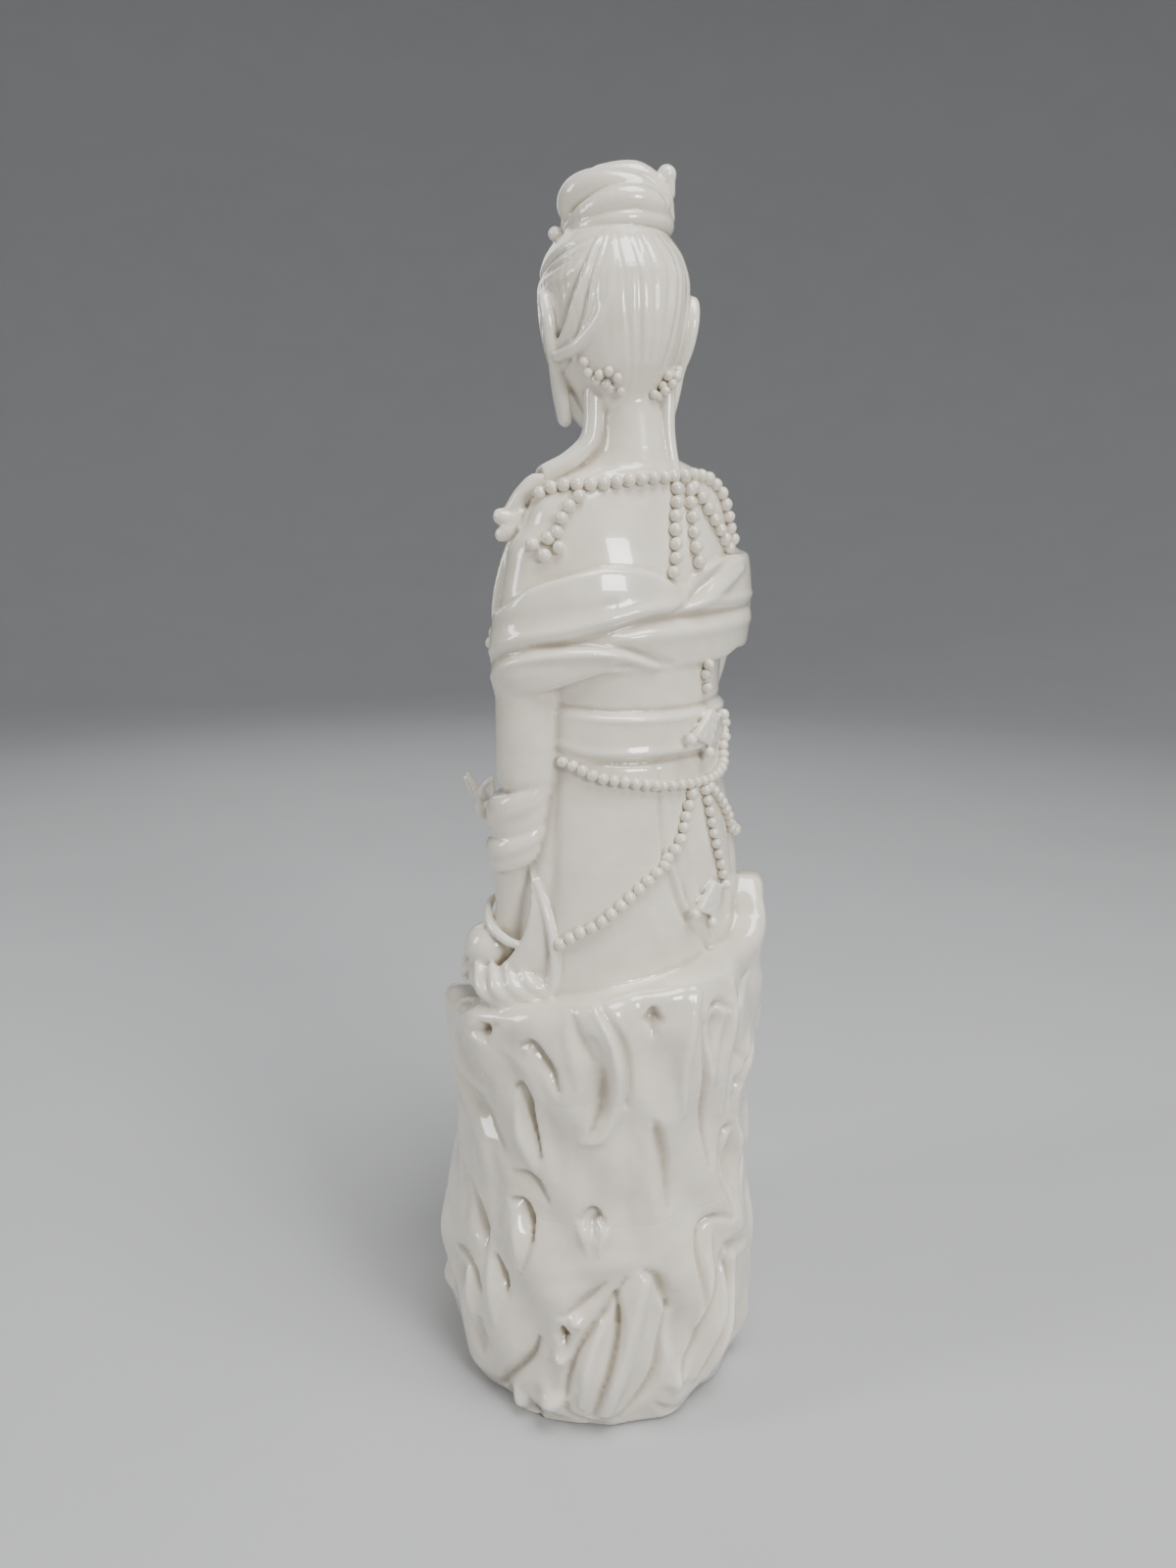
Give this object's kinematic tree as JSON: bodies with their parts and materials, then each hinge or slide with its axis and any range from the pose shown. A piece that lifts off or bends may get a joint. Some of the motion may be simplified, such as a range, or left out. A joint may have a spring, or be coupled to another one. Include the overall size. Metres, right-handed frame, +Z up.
{
  "type": "guanyin figurine",
  "caption": "White porcelain figure with bead strings, shawl and hair knot, seated on a carved rock that is one with it and stands on its flat underside.",
  "frame": {"origin": "centre of the rock's flat underside, below the figure's seat", "axes": "+Z up to the hair knot, -Y to where the figure faces, +X to the figure's own left"},
  "size_m": [0.1225, 0.1463, 0.4188],
  "materials": {
    "glazed_porcelain": "glossy ivory-white glaze over white porcelain"
  },
  "bodies": {
    "root": {"guanyin_on_rock": "glazed_porcelain"}
  },
  "joints": []
}
